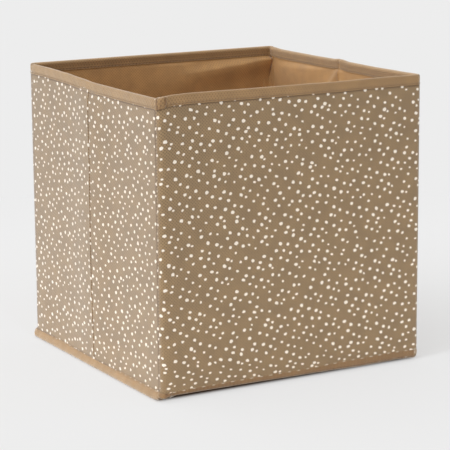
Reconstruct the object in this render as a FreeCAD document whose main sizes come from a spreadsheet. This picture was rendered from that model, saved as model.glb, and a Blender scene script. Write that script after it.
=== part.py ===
import FreeCAD, Part
import os
import Sketcher

# A fold-flat fabric storage cube. Six stiffened panels make its four walls: the front and back
# walls are one panel each, and the left and right walls are two halves that crease inwards.
# +X runs along the front wall, the front wall faces -Y, and the origin is on the ground under
# the middle of the floor.
#
# Every panel is built in the same local frame: u runs along the wall, v runs inwards from the
# outermost face of the wall (the outer face of its foot tape), and z runs up.

Vector = FreeCAD.Vector

DIMENSIONS = {
    "width": 308.0,  # over the foot tapes, along the front wall
    "depth": 305.0,  # over the foot tapes, front to back
    "height": 300.0,
    "cover_cloth": 0.5,  # printed outer cloth
    "board_card": 2.0,  # card stiffener
    "lining_cloth": 0.5,  # plain inner cloth
    "rim_tape": 0.6,  # one layer of tape over the top edge
    "rim_reach": 10.0,  # how far the rim tape comes down the wall
    "rim_round": 1.5,  # rounding of the folded tape's top
    "foot_bulk": 3.4,  # outer leg of the foot tape, with the seam allowance folded inside it
    "foot_web": 1.6,  # tape under the wall's bottom edge
    "foot_lip": 0.6,  # inner leg of the foot tape
    "foot_reach": 9.5,  # how far the foot tape comes up the wall
    "foot_round": 1.4,  # rounding of the foot tape's bottom fold and of its outer leg
    "tape_ease": 0.1,  # between a tape and the cloth that it covers
    "corner_radius": 9.3,  # of the foot tape's outer face, at each vertical corner
    "hinge_gap": 0.2,  # from each face beside a cloth hinge to the hinge's axis
    "seam_round": 1.6,  # where a side panel's cover turns in to a vertical seam
    "seam_margin": 2.6,  # from a vertical seam to the card
    "card_round": 4.0,  # corner radius of the card
    "card_play": 5.0,  # from the card to the bottom and the top of its pocket, so that it slides in
    "lining_ease": 0.3,  # between a long wall's lining and its cover, inside the corner
    "floor_gap": 0.3,  # between the floor and the tapes that it is sewn to
    "floor_cloth": 0.5,
    "floor_corner": 3.0,  # corner radius of the floor
}


def cell(name):
    return f"Dimensions.{name}"


# Distances from the outermost face of a wall, through its layers
COVER_OUT = cell("foot_bulk")
COVER_IN = f"({COVER_OUT} + {cell('cover_cloth')})"
BOARD_IN = f"({COVER_IN} + {cell('board_card')})"
LINING_IN = f"({BOARD_IN} + {cell('lining_cloth')})"
SLOT_OUT = f"({COVER_OUT} - {cell('tape_ease')})"
SLOT_IN = f"({LINING_IN} + {cell('tape_ease')})"
RIM_OUT = f"({SLOT_OUT} - {cell('rim_tape')})"
RIM_IN = f"({SLOT_IN} + {cell('rim_tape')})"
FOOT_IN = f"({SLOT_IN} + {cell('foot_lip')})"

# Heights
LAYERS_BOTTOM = cell("foot_web")
LAYERS_TOP = f"({cell('height')} - {cell('rim_tape')})"
RIM_BOTTOM = f"({cell('height')} - {cell('rim_reach')})"

# Half widths and half depths
HALF_WIDTH = f"{cell('width')} / 2"
HALF_DEPTH = f"{cell('depth')} / 2"
SIDE_START = f"({cell('corner_radius')} + 2 * {cell('hinge_gap')})"
HALF_LENGTH = f"(({HALF_DEPTH} - {SIDE_START} - {cell('hinge_gap')}) / 2)"
HALF_PANEL_MIDDLE = f"({cell('hinge_gap')} + {HALF_LENGTH})"
CORNER_START = f"({HALF_WIDTH} - {cell('corner_radius')})"

# A long wall's lining runs into the corner as far as the inside of its turned cover
COVER_INNER_RADIUS = f"({cell('corner_radius')} - {COVER_IN})"
LINING_DEPTH = f"({cell('corner_radius')} - {BOARD_IN})"
CORNER_REACH = f"sqrt({COVER_INNER_RADIUS} ^ 2 - {LINING_DEPTH} ^ 2)"
CORNER_LINING = f"({CORNER_START} + {CORNER_REACH} - {cell('lining_ease')})"

# Each wall panel: is it a long one with rounded ends, its turn about Z, and where its local
# frame's origin stands
WALLS = {
    "front": (True, 0, "0", f"-{HALF_DEPTH}"),
    "back": (True, 180, "0", HALF_DEPTH),
    "left_front": (False, -90, f"-{HALF_WIDTH}", f"-{HALF_PANEL_MIDDLE}"),
    "left_rear": (False, -90, f"-{HALF_WIDTH}", HALF_PANEL_MIDDLE),
    "right_front": (False, 90, HALF_WIDTH, f"-{HALF_PANEL_MIDDLE}"),
    "right_rear": (False, 90, HALF_WIDTH, HALF_PANEL_MIDDLE),
}

doc = FreeCAD.newDocument("FabricStorageBin")


def add_dimensions():
    sheet = doc.addObject("Spreadsheet::Sheet", "Dimensions")
    for row, (name, size) in enumerate(DIMENSIONS.items(), start=1):
        sheet.set(f"A{row}", name)
        sheet.set(f"B{row}", str(size))
        sheet.setAlias(f"B{row}", name)
    doc.recompute()
    return sheet


sheet = add_dimensions()


def size_of(text):
    """The present value of an expression on the sheet's cells."""
    return float(sheet.evalExpression(text))


def origin_plane(body, role):
    return next(plane for plane in body.Origin.OriginFeatures if plane.Role == role)


def add_body(label):
    body = doc.addObject("PartDesign::Body", label)
    body.Label = label
    return body


def outline_sketch(body, name, corners, arcs, level):
    """A closed outline on a level plane.

    corners are pairs of expressions, in order, and arcs gives the centre and the radius
    of each side that is round, by the number of the corner that it starts at.
    """
    sketch = body.newObject("Sketcher::SketchObject", name)
    sketch.AttachmentSupport = [(origin_plane(body, "XY_Plane"), "")]
    sketch.MapMode = "FlatFace"
    sketch.setExpression("AttachmentOffset.Base.z", level)
    spots = [Vector(size_of(u), size_of(v), 0) for u, v in corners]
    count = len(spots)
    for side in range(count):
        start = spots[side]
        end = spots[(side + 1) % count]
        if side in arcs:
            add_arc(sketch, start, end, arcs[side])
        else:
            sketch.addGeometry(Part.LineSegment(start, end), False)
    for side in range(count):
        after = (side + 1) % count
        meet = Sketcher.Constraint("Coincident", side, end_point(side, arcs), after, start_point(after, arcs))
        sketch.addConstraint(meet)
    for side, (u, v) in enumerate(corners):
        point = start_point(side, arcs)
        bind(sketch, "DistanceX", (-1, 1, side, point, spots[side].x), u)
        bind(sketch, "DistanceY", (-1, 1, side, point, spots[side].y), v)
    for side, (centre, radius, outward) in arcs.items():
        bind(sketch, "Radius", (side, size_of(radius)), radius)
    return sketch


def start_point(side, arcs):
    """A sketch counts an arc's ends anticlockwise, so a clockwise one starts at its second."""
    return 2 if side in arcs and not arcs[side][2] else 1


def end_point(side, arcs):
    return 3 - start_point(side, arcs)


def add_arc(sketch, start, end, arc):
    centre, radius, anticlockwise = arc
    middle = Vector(size_of(centre[0]), size_of(centre[1]), 0)
    circle = Part.Circle(middle, Vector(0, 0, 1), size_of(radius))
    first = circle.parameter(start)
    last = circle.parameter(end)
    if not anticlockwise:
        first, last = last, first
    sketch.addGeometry(Part.ArcOfCircle(circle, first, last), False)


def bind(sketch, kind, values, expression):
    number = sketch.addConstraint(Sketcher.Constraint(kind, *values))
    sketch.setExpression(f"Constraints[{number}]", expression)


def rectangle(body, name, half_length, near, far, level):
    corners = [
        (f"-{half_length}", near),
        (half_length, near),
        (half_length, far),
        (f"-{half_length}", far),
    ]
    return outline_sketch(body, name, corners, {}, level)


def rounded_band(body, name, near, far, level):
    """The plan of a layer of a long wall, with its ends turned round the two corners."""
    radius = cell("corner_radius")
    outer_radius = f"({radius} - {near})"
    inner_radius = f"({radius} - {far})"
    outer_end = f"({HALF_WIDTH} - {near})"
    inner_end = f"({HALF_WIDTH} - {far})"
    corners = [
        (f"-{CORNER_START}", near),
        (CORNER_START, near),
        (outer_end, radius),
        (inner_end, radius),
        (CORNER_START, far),
        (f"-{CORNER_START}", far),
        (f"-{inner_end}", radius),
        (f"-{outer_end}", radius),
    ]
    right = (CORNER_START, radius)
    left = (f"-{CORNER_START}", radius)
    arcs = {
        1: (right, outer_radius, True),
        3: (right, inner_radius, False),
        5: (left, inner_radius, False),
        7: (left, outer_radius, True),
    }
    return outline_sketch(body, name, corners, arcs, level)


def band(body, name, is_long, near, far, level):
    if is_long:
        return rounded_band(body, name, near, far, level)
    return rectangle(body, name, HALF_LENGTH, near, far, level)


def pad(body, sketch, length):
    feature = body.newObject("PartDesign::Pad", f"{sketch.Name}Pad")
    feature.Profile = sketch
    feature.setExpression("Length", length)
    sketch.Visibility = False
    doc.recompute()
    return feature


def pocket(body, sketch, depth):
    """Cuts upwards from the sketch, and makes sure that it cut something."""
    before = body.Shape.Volume
    feature = body.newObject("PartDesign::Pocket", f"{sketch.Name}Pocket")
    feature.Profile = sketch
    feature.Reversed = True
    feature.setExpression("Length", depth)
    doc.recompute()
    if not body.Shape.Volume < before:
        raise RuntimeError(f"{feature.Name} cuts nothing")
    return feature


def is_along(edge, level):
    """Whether an edge lies at that height and runs along a tape, and not across its cut end."""
    box = edge.BoundBox
    height = size_of(level)
    at_level = abs(box.ZMin - height) < 1e-6 and abs(box.ZMax - height) < 1e-6
    is_across = isinstance(edge.Curve, Part.Line) and edge.Length <= size_of(FOOT_IN)
    return at_level and not is_across


def is_rim_edge(edge):
    return is_along(edge, cell("height"))


def is_foot_edge(edge):
    """The two bottom edges, and the outer one at the top of the outer leg."""
    if is_along(edge, "0"):
        return True
    if not is_along(edge, cell("foot_reach")):
        return False
    if isinstance(edge.Curve, Part.Circle):
        return abs(edge.Curve.Radius - size_of(cell("corner_radius"))) < 1e-6
    return abs(edge.BoundBox.YMin) < 1e-6


def round_edges(body, radius, chosen):
    base = body.Tip
    edges = enumerate(base.Shape.Edges, start=1)
    names = [f"Edge{number}" for number, edge in edges if chosen(edge)]
    fillet = body.newObject("PartDesign::Fillet", f"{body.Name}Round")
    fillet.Base = (base, names)
    fillet.setExpression("Radius", radius)
    doc.recompute()
    return fillet


def turned_in_cover(body, name):
    """The plan of a side panel's cover, turned in at both ends to its vertical seams."""
    end = HALF_LENGTH
    inner_end = f"({end} - {cell('cover_cloth')})"
    flat_end = f"({end} - {cell('seam_round')})"
    outer_radius = cell("seam_round")
    inner_radius = f"({outer_radius} - {cell('cover_cloth')})"
    turn = f"({COVER_OUT} + {outer_radius})"
    corners = [
        (f"-{flat_end}", COVER_OUT),
        (flat_end, COVER_OUT),
        (end, turn),
        (end, BOARD_IN),
        (inner_end, BOARD_IN),
        (inner_end, turn),
        (flat_end, COVER_IN),
        (f"-{flat_end}", COVER_IN),
        (f"-{inner_end}", turn),
        (f"-{inner_end}", BOARD_IN),
        (f"-{end}", BOARD_IN),
        (f"-{end}", turn),
    ]
    right = (flat_end, turn)
    left = (f"-{flat_end}", turn)
    arcs = {
        1: (right, outer_radius, True),
        5: (right, inner_radius, False),
        7: (left, inner_radius, False),
        11: (left, outer_radius, True),
    }
    return outline_sketch(body, name, corners, arcs, LAYERS_BOTTOM)


def add_cover(name, is_long):
    """A long wall's cover turns round both corners of the bin as far as the side panels."""
    body = add_body(f"{name}_cover")
    if is_long:
        sketch = rounded_band(body, f"{name}_cover_plan", COVER_OUT, COVER_IN, LAYERS_BOTTOM)
    else:
        sketch = turned_in_cover(body, f"{name}_cover_plan")
    pad(body, sketch, f"{LAYERS_TOP} - {LAYERS_BOTTOM}")
    return body


def add_board(name, is_long):
    """Card with round corners, which stops short of the vertical seams."""
    body = add_body(f"{name}_board")
    edge = CORNER_START if is_long else HALF_LENGTH
    half_length = f"({edge} - {cell('seam_margin')})"
    bottom = f"({LAYERS_BOTTOM} + {cell('card_play')})"
    sketch = rectangle(body, f"{name}_board_plan", half_length, COVER_IN, BOARD_IN, bottom)
    pad(body, sketch, f"{LAYERS_TOP} - {cell('card_play')} - {bottom}")
    round_edges(body, cell("card_round"), is_card_corner)
    return body


def is_card_corner(edge):
    """A short edge through the card's thickness."""
    return abs(edge.Length - size_of(cell("board_card"))) < 1e-6


def add_lining(name, is_long):
    body = add_body(f"{name}_lining")
    half_length = CORNER_LINING if is_long else HALF_LENGTH
    sketch = rectangle(body, f"{name}_lining_plan", half_length, BOARD_IN, LINING_IN, LAYERS_BOTTOM)
    pad(body, sketch, f"{LAYERS_TOP} - {LAYERS_BOTTOM}")
    return body


def add_rim_binding(name, is_long):
    """Tape folded over the top edge of a wall's three layers."""
    body = add_body(f"{name}_rim_binding")
    plan = band(body, f"{name}_rim_plan", is_long, RIM_OUT, RIM_IN, RIM_BOTTOM)
    pad(body, plan, cell("rim_reach"))
    slot = band(body, f"{name}_rim_slot", is_long, SLOT_OUT, SLOT_IN, RIM_BOTTOM)
    pocket(body, slot, f"{cell('rim_reach')} - {cell('rim_tape')}")
    round_edges(body, cell("rim_round"), is_rim_edge)
    return body


def add_foot_binding(name, is_long):
    """Tape folded double under the bottom edge, which the bin stands on."""
    body = add_body(f"{name}_foot_binding")
    plan = band(body, f"{name}_foot_plan", is_long, "0", FOOT_IN, "0")
    pad(body, plan, cell("foot_reach"))
    slot = band(body, f"{name}_foot_slot", is_long, SLOT_OUT, SLOT_IN, LAYERS_BOTTOM)
    pocket(body, slot, f"{cell('foot_reach')} - {cell('foot_web')}")
    round_edges(body, cell("foot_round"), is_foot_edge)
    return body


def floor_outline(body, name, inset, level):
    """A rectangle with round corners, that far inside the outermost faces of the walls."""
    x = f"({HALF_WIDTH} - {inset})"
    y = f"({HALF_DEPTH} - {inset})"
    radius = cell("floor_corner")
    flat_x = f"({x} - {radius})"
    flat_y = f"({y} - {radius})"
    corners = [
        (f"-{flat_x}", f"-{y}"),
        (flat_x, f"-{y}"),
        (x, f"-{flat_y}"),
        (x, flat_y),
        (flat_x, y),
        (f"-{flat_x}", y),
        (f"-{x}", flat_y),
        (f"-{x}", f"-{flat_y}"),
    ]
    arcs = {
        1: ((flat_x, f"-{flat_y}"), radius, True),
        3: ((flat_x, flat_y), radius, True),
        5: ((f"-{flat_x}", flat_y), radius, True),
        7: ((f"-{flat_x}", f"-{flat_y}"), radius, True),
    }
    return outline_sketch(body, name, corners, arcs, level)


FLOOR_INSET = f"({FOOT_IN} + {cell('floor_gap')})"


def add_floor_cover():
    body = add_body("floor_cover")
    sketch = floor_outline(body, "floor_cover_plan", FLOOR_INSET, "0")
    pad(body, sketch, cell("floor_cloth"))
    return body


def add_floor_lining():
    """A shallow tray: its turned-up edge stands against the foot tapes."""
    body = add_body("floor_lining")
    plan = floor_outline(body, "floor_lining_plan", FLOOR_INSET, cell("floor_cloth"))
    pad(body, plan, f"{cell('foot_reach')} - {cell('floor_cloth')}")
    inside = f"({FLOOR_INSET} + {cell('lining_cloth')})"
    floor_top = f"({cell('floor_cloth')} + {cell('lining_cloth')})"
    hollow = floor_outline(body, "floor_lining_hollow", inside, floor_top)
    pocket(body, hollow, f"{cell('foot_reach')} - {floor_top}")
    return body


def build():
    layers = (add_cover, add_board, add_lining, add_rim_binding, add_foot_binding)
    parts = []
    for name, (is_long, turn, x, y) in WALLS.items():
        for add_layer in layers:
            body = add_layer(name, is_long)
            body.Placement.Rotation = FreeCAD.Rotation(Vector(0, 0, 1), turn)
            body.setExpression("Placement.Base.x", x)
            body.setExpression("Placement.Base.y", y)
            parts.append(body)
    parts.append(add_floor_cover())
    parts.append(add_floor_lining())
    return parts


def check(parts):
    for thing in doc.Objects:
        if "Invalid" in thing.State or "Error" in thing.State:
            raise RuntimeError(f"{thing.Name} failed: {thing.State}")
    for part in parts:
        if part.Shape.isNull() or not part.Shape.isValid():
            raise RuntimeError(f"{part.Label} has no valid shape")


def export(parts):
    os.makedirs("parts", exist_ok=True)
    for part in parts:
        part.Shape.exportStep(f"parts/{part.Label}.step")


parts = build()
doc.recompute()
check(parts)
export(parts)
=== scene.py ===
import math
import random

import bmesh
import bpy
from mathutils import Matrix, Vector


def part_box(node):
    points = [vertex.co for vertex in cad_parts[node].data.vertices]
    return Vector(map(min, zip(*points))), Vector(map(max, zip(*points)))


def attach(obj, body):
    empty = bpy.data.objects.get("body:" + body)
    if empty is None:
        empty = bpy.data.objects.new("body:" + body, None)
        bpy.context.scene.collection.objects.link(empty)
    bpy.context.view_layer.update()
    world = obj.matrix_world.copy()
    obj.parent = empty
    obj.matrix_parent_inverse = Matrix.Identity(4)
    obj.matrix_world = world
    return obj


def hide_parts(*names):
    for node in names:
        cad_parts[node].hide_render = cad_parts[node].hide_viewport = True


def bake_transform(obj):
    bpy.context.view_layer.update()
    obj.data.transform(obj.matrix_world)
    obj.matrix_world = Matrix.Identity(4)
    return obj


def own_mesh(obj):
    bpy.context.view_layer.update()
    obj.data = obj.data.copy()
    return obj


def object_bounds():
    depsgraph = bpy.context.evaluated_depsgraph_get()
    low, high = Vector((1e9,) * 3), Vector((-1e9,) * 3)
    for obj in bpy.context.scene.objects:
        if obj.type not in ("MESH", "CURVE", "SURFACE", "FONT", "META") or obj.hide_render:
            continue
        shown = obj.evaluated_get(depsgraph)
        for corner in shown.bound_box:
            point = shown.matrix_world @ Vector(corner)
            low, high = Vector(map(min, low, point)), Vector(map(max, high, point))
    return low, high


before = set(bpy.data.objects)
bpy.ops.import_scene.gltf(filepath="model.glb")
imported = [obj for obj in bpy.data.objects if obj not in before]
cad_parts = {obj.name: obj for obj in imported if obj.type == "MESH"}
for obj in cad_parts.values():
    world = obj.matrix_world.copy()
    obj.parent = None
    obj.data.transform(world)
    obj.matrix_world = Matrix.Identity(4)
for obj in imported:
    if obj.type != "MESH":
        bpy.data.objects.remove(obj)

bl_info = {
    "name": "Fold-flat storage cube",
    "version": (1, 0, 0),
    "blender": (4, 5, 0),
    "location": "3D View > Sidebar > Storage cube",
    "description": "Makes the cloth, tape, thread and card of a fold-flat storage cube",
    "category": "Add Mesh",
}

MM = 0.001
LOW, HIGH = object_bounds()
SIZE = HIGH - LOW


def depth_of(node, axis=1, side=0):
    """How far a node's face is from the cube's outermost face, along one axis."""
    return abs(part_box(node)[side][axis] - LOW[axis])


# Depths of the layers from the outermost face, and heights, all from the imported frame
COVER = depth_of("front_cover")
COVER_BACK = depth_of("left_front_cover", 0, 1)
LINING_FACE = depth_of("front_lining", 1, 1)
RIM = depth_of("front_rim_binding")
TURN = depth_of("front_cover", 1, 1)  # a corner's turn ends here
SEAM = depth_of("left_front_cover", 1, 0)  # a side wall's cloth starts here
CLOTH_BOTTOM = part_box("front_cover")[0].z
CLOTH_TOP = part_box("front_cover")[1].z
RIM_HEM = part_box("front_rim_binding")[0].z
FOOT_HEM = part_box("front_foot_binding")[1].z
CARD = .002  # the card's thickness, which lies in the back of its cover
CLEAR = .0001  # what is left free between a cloth and its card


# ---------------------------------------------------------------- walls

class Wall:
    """One side of the cube, seen from outside: u runs right, depth runs inwards, z runs up."""

    def __init__(self, name, corner, along, out, bodies):
        self.name, self.corner, self.along, self.out = name, Vector(corner), Vector(along), Vector(out)
        self.length = abs(SIZE.dot(self.along))
        self.bodies = bodies  # from the wall's left end to its right end
        self.long = len(bodies) == 1  # a long wall is one panel, and its cloth turns both corners

    def at(self, u, depth, z):
        return self.corner + self.along * u - self.out * depth + Vector((0, 0, z))


WALLS = {
    "front": Wall("front", (LOW.x, LOW.y, 0), (1, 0, 0), (0, -1, 0), ["front_wall"]),
    "right": Wall("right", (HIGH.x, LOW.y, 0), (0, 1, 0), (1, 0, 0), ["right_front_panel", "right_rear_panel"]),
    "back": Wall("back", (HIGH.x, HIGH.y, 0), (-1, 0, 0), (0, 1, 0), ["back_wall"]),
    "left": Wall("left", (LOW.x, HIGH.y, 0), (0, -1, 0), (-1, 0, 0), ["left_rear_panel", "left_front_panel"]),
}

# How much higher than nominal each wall's top edge stands, as (u, rise) in metres
RISE = {
    "front": [
        (0, -.0027), (.0027, -.0025), (.0040, -.0016), (.0060, -.0008), (.0093, 0), (.02, .0009), (.035, .0013),
        (.06, .0012), (.11, .0007), (.16, .0004), (.2, 0), (.25, .0004), (.308, .0),
    ],
    "right": [
        (0, 0), (.045, -.0007), (.09, -.0013), (.134, -.0012), (.1525, .0002),
        (.169, -.0010), (.21, -.0014), (.27, -.0015), (.305, 0),
    ],
    "back": [(0, 0), (.1, .0002), (.2, .0006), (.308, .0008)],
    "left": [
        (0, .0004), (.05, .0006), (.09, .0), (.13, -.0015), (.16, -.0029), (.22, -.0029), (.27, -.0027), (.305, -.0024),
    ],
}

# Soft swellings of each wall: centre (u, z), reach (u, z), outward amount, in metres
SWELL = {
    "front": [
        (.16, .021, .17, .013, .0008), (.30, .16, .03, .15, .0005),
        (.12, .2, .08, .07, -.0005), (.21, .1, .07, .06, .0005),
    ],
    "right": [(.07, .15, .05, .1, .0006), (.23, .16, .05, .1, .0005)],
    "back": [(.1, .16, .08, .08, .0006), (.22, .12, .08, .08, -.0004)],
    "left": [(.1525, .125, .04, .13, .0026), (.1525, .272, .03, .05, .0016), (.02, .03, .03, .03, .0012)],
}

# How far each wall's bottom edge stands clear of the floor, as (u, height)
LIFT = {
    "front": [
        (0, .0028), (.004, .0040), (.0093, .0056), (.0135, .0061), (.045, .0061), (.10, .0058), (.16, .0052),
        (.20, .0048), (.236, .0041), (.265, .0044), (.277, .0046), (.289, .0043), (.300, .0036), (.308, .0030),
    ],
    "right": [(0, .0028), (.03, .0010), (.06, 0)],
    "left": [(.284, 0), (.2953, .0024), (.305, .0028)],
}

# How high the foot tape's hem is above nominal, as (u, height)
HEM_RISE = {
    "front": [
        (.008, 0), (.022, .0007), (.045, .0012), (.10, .0016), (.16, .0016),
        (.22, .0030), (.277, .0038), (.300, .0034), (.308, .0024),
    ],
    "right": [(0, .0024), (.03, 0)],
}

# How far the foot tape is rolled in under the wall, from 0 to 1, as (u, share)
ROLL = {
    "front": [(0, .35), (.004, .5), (.0093, .8), (.0135, 1)],
    "right": [(.014, 1), (.03, 0)],
    "left": [(.27, 0), (.285, .2), (.2953, .35)],
}

# Half the width over which each layer is drawn straight across a side wall's crease, and BENDING, a share of that width
CREASE = {"tape": .0001, "lining": .0003, "cover": .0003}
BENDING = .8


def ease(x):
    x = min(max(x, 0.0), 1.0)
    return x * x * (3 - 2 * x)


def ridge(x, width):
    """A smooth bump of height 1 at x = 0."""
    return math.exp(-(x / width) ** 2)


def along_curve(points, x):
    """Height of a smooth curve through a few points."""
    for (x0, y0), (x1, y1) in zip(points, points[1:]):
        if x <= x1:
            return y0 + (y1 - y0) * ease((x - x0) / (x1 - x0))
    return points[-1][1]


def along_wall(table, wall, u):
    """A table's value at a place along a wall, 0 on walls it leaves out."""
    points = table.get(wall.name)
    return along_curve(points, max(u, points[0][0])) if points else 0.0


def rise(wall, u, z):
    """How much higher than nominal a wall's cloth is: at its top edge, and at a bottom edge clear of the floor."""
    top, foot = along_wall(RISE, wall, u), along_wall(LIFT, wall, u)
    return top * ease((z - .10) / .18) + foot * (1 - ease((z - CLOTH_BOTTOM) / .03))


def swell(wall, u, z):
    """How far a wall's cover stands out from its card, which its seams and its top edge hold down."""
    held = ease(u / .012) * ease((wall.length - u) / .012) * ease((CLOTH_TOP - z) / .02)
    slack_all_over = .0004
    return held * max(0, slack_all_over + sum(
        amount * ridge(u - cu, ru) * ridge(z - cz, rz) for cu, cz, ru, rz, amount in SWELL[wall.name]))


def spread(*spans):
    """Stops along a line, as (start, end, steps) spans one after another."""
    stops = [spans[0][0]]
    for start, end, steps in spans:
        stops += [start + (end - start) * i / steps for i in range(1, steps + 1)]
    return stops


def around(wall, depth, t):
    """A place along a long wall's cloth, which turns both corners: t is 0 to 1 round the left one, 1 to 2 along the
    flat, 2 to 3 round the right one. Gives the place along the wall, its depth and the direction it faces."""
    r = TURN - depth
    if t < 1:
        a = t * math.pi / 2
        return TURN - r * math.cos(a), TURN - r * math.sin(a), -wall.along * math.cos(a) + wall.out * math.sin(a)
    if t <= 2:
        return TURN + (t - 1) * (wall.length - 2 * TURN), depth, wall.out.copy()
    a = (t - 2) * math.pi / 2
    out = wall.along * math.sin(a) + wall.out * math.cos(a)
    return wall.length - TURN + r * math.sin(a), TURN - r * math.cos(a), out


def around_length(wall, depth, t):
    """Cloth length from the left end of a long wall's cloth to t."""
    r, flat = TURN - depth, wall.length - 2 * TURN
    return min(t, 1) * r * math.pi / 2 + min(max(t - 1, 0), 1) * flat + max(t - 2, 0) * r * math.pi / 2


def cloth_along(wall, depth, t):
    """Cloth length to t from the left end of a long wall's cloth, or the place along a side wall's."""
    return around_length(wall, depth, t) if wall.long else t


def cloth_place(wall, depth, t):
    """The place along any wall's cloth, its depth and the direction it faces."""
    return around(wall, depth, t) if wall.long else (t, depth, wall.out)


def cloth_length(wall, depth):
    return around_length(wall, depth, 3) if wall.long else wall.length - 2 * SEAM


def long_stops(flat_steps, turn_steps=8, lap=0.0):
    """Stops along a long wall's cloth, close together at its turns. A lapped end passes the seam."""
    ends = ([(-lap, 0, 3)], [(3, 3 + lap, 3)]) if lap else ([], [])
    flat = [(1, 1.02, 8), (1.02, 1.04, 3), (1.04, 1.97, flat_steps), (1.97, 2, 4)]
    return spread(*ends[0], (0, 1, turn_steps), *flat, (2, 3, turn_steps), *ends[1])


def side_stops(wall, steps, clear):
    """Stops along a side wall, close together at its crease, with none nearer the crease than clear: there the cloth
    is drawn straight across."""
    middle, end, near, nearer = wall.length / 2, wall.length - SEAM, .006, .0016
    return spread(
        (SEAM, SEAM + near, 5), (SEAM + near, middle - near, steps), (middle - near, middle - nearer, 5),
        (middle - nearer, middle - clear, 6), (middle - clear, middle + clear, 1), (middle + clear, middle + nearer, 6),
        (middle + nearer, middle + near, 5), (middle + near, end - near, steps), (end - near, end, 5),
    )


# ---------------------------------------------------------------- cloth

def sheet_mesh(name, across, up, place, flat, thick, finish, flip=False, pressed=None):
    """A sheet of cloth made from a grid: place(a, b) puts its corners, flat(a, b) is where they were on the flat
    cloth, and pressed(a, b) is how much shade is painted into its colour there, where creases, seams and hems fall into
    shade. Its thickness is on its far side."""
    bm = bmesh.new()
    bmesh.ops.create_grid(bm, x_segments=len(across) - 1, y_segments=len(up) - 1, size=0.5)
    layer = bm.loops.layers.uv.new("cloth")
    # painted shade: how much the cloth's material darkens each corner, as shade that falls in creases and under hems
    mark = bm.verts.layers.float.new("pressed")
    where = {}
    for vert in bm.verts:
        i = round((vert.co.x + .5) * (len(across) - 1))
        j = round((vert.co.y + .5) * (len(up) - 1))
        where[vert] = (across[i], up[j])
    for face in bm.faces:
        for loop in face.loops:
            loop[layer].uv = flat(*where[loop.vert])
    for vert, (a, b) in where.items():
        vert.co = place(a, b)
        vert[mark] = min(1, pressed(a, b)) if pressed else 0
    if flip:
        bmesh.ops.reverse_faces(bm, faces=bm.faces[:])
    bm.normal_update()
    bmesh.ops.solidify(bm, geom=bm.faces[:], thickness=thick)
    for face in bm.faces:
        face.smooth = True
    return finish_mesh(name, bm, finishes()[finish])


def finish_mesh(name, bm, material):
    """Makes the object of a finished bmesh, with its place in its mesh."""
    mesh = bpy.data.meshes.new(name)
    bm.to_mesh(mesh)
    bm.free()
    mesh.materials.append(material)
    piece = bpy.data.objects.new(name, mesh)
    bpy.context.scene.collection.objects.link(piece)
    return piece


def panels(wall):
    """The names that a wall's CAD nodes start with, one for each of its panels."""
    return [wall.name] if wall.long else [b.replace("_panel", "") for b in wall.bodies]


def settle(piece, wall, layer, flat, under):
    """Hides the CAD nodes that a wall's cloth or tape stands for, and carries it on its wall. flat, how large it was
    cut, is not used.
    """
    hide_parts(*[f"{n}_{layer}" for n in panels(wall)])
    carry(piece, wall, layer if layer in CREASE else "tape")
    [f"{n}_{under}" for n in panels(wall)]


def carry(piece, wall, layer):
    """A long wall's piece rides on its wall; a side wall's piece has its place baked into its mesh."""
    if wall.long:
        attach(piece, wall.bodies[0])
    else:
        middle, bend, half_up = wall.length / 2, CREASE[layer] * BENDING, .15
        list(wall.bodies)
        wall.at(middle - bend, 0, half_up)
        wall.at(middle + bend, 0, half_up)
        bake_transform(piece)


# ---------------------------------------------------------------- finishes

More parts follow.
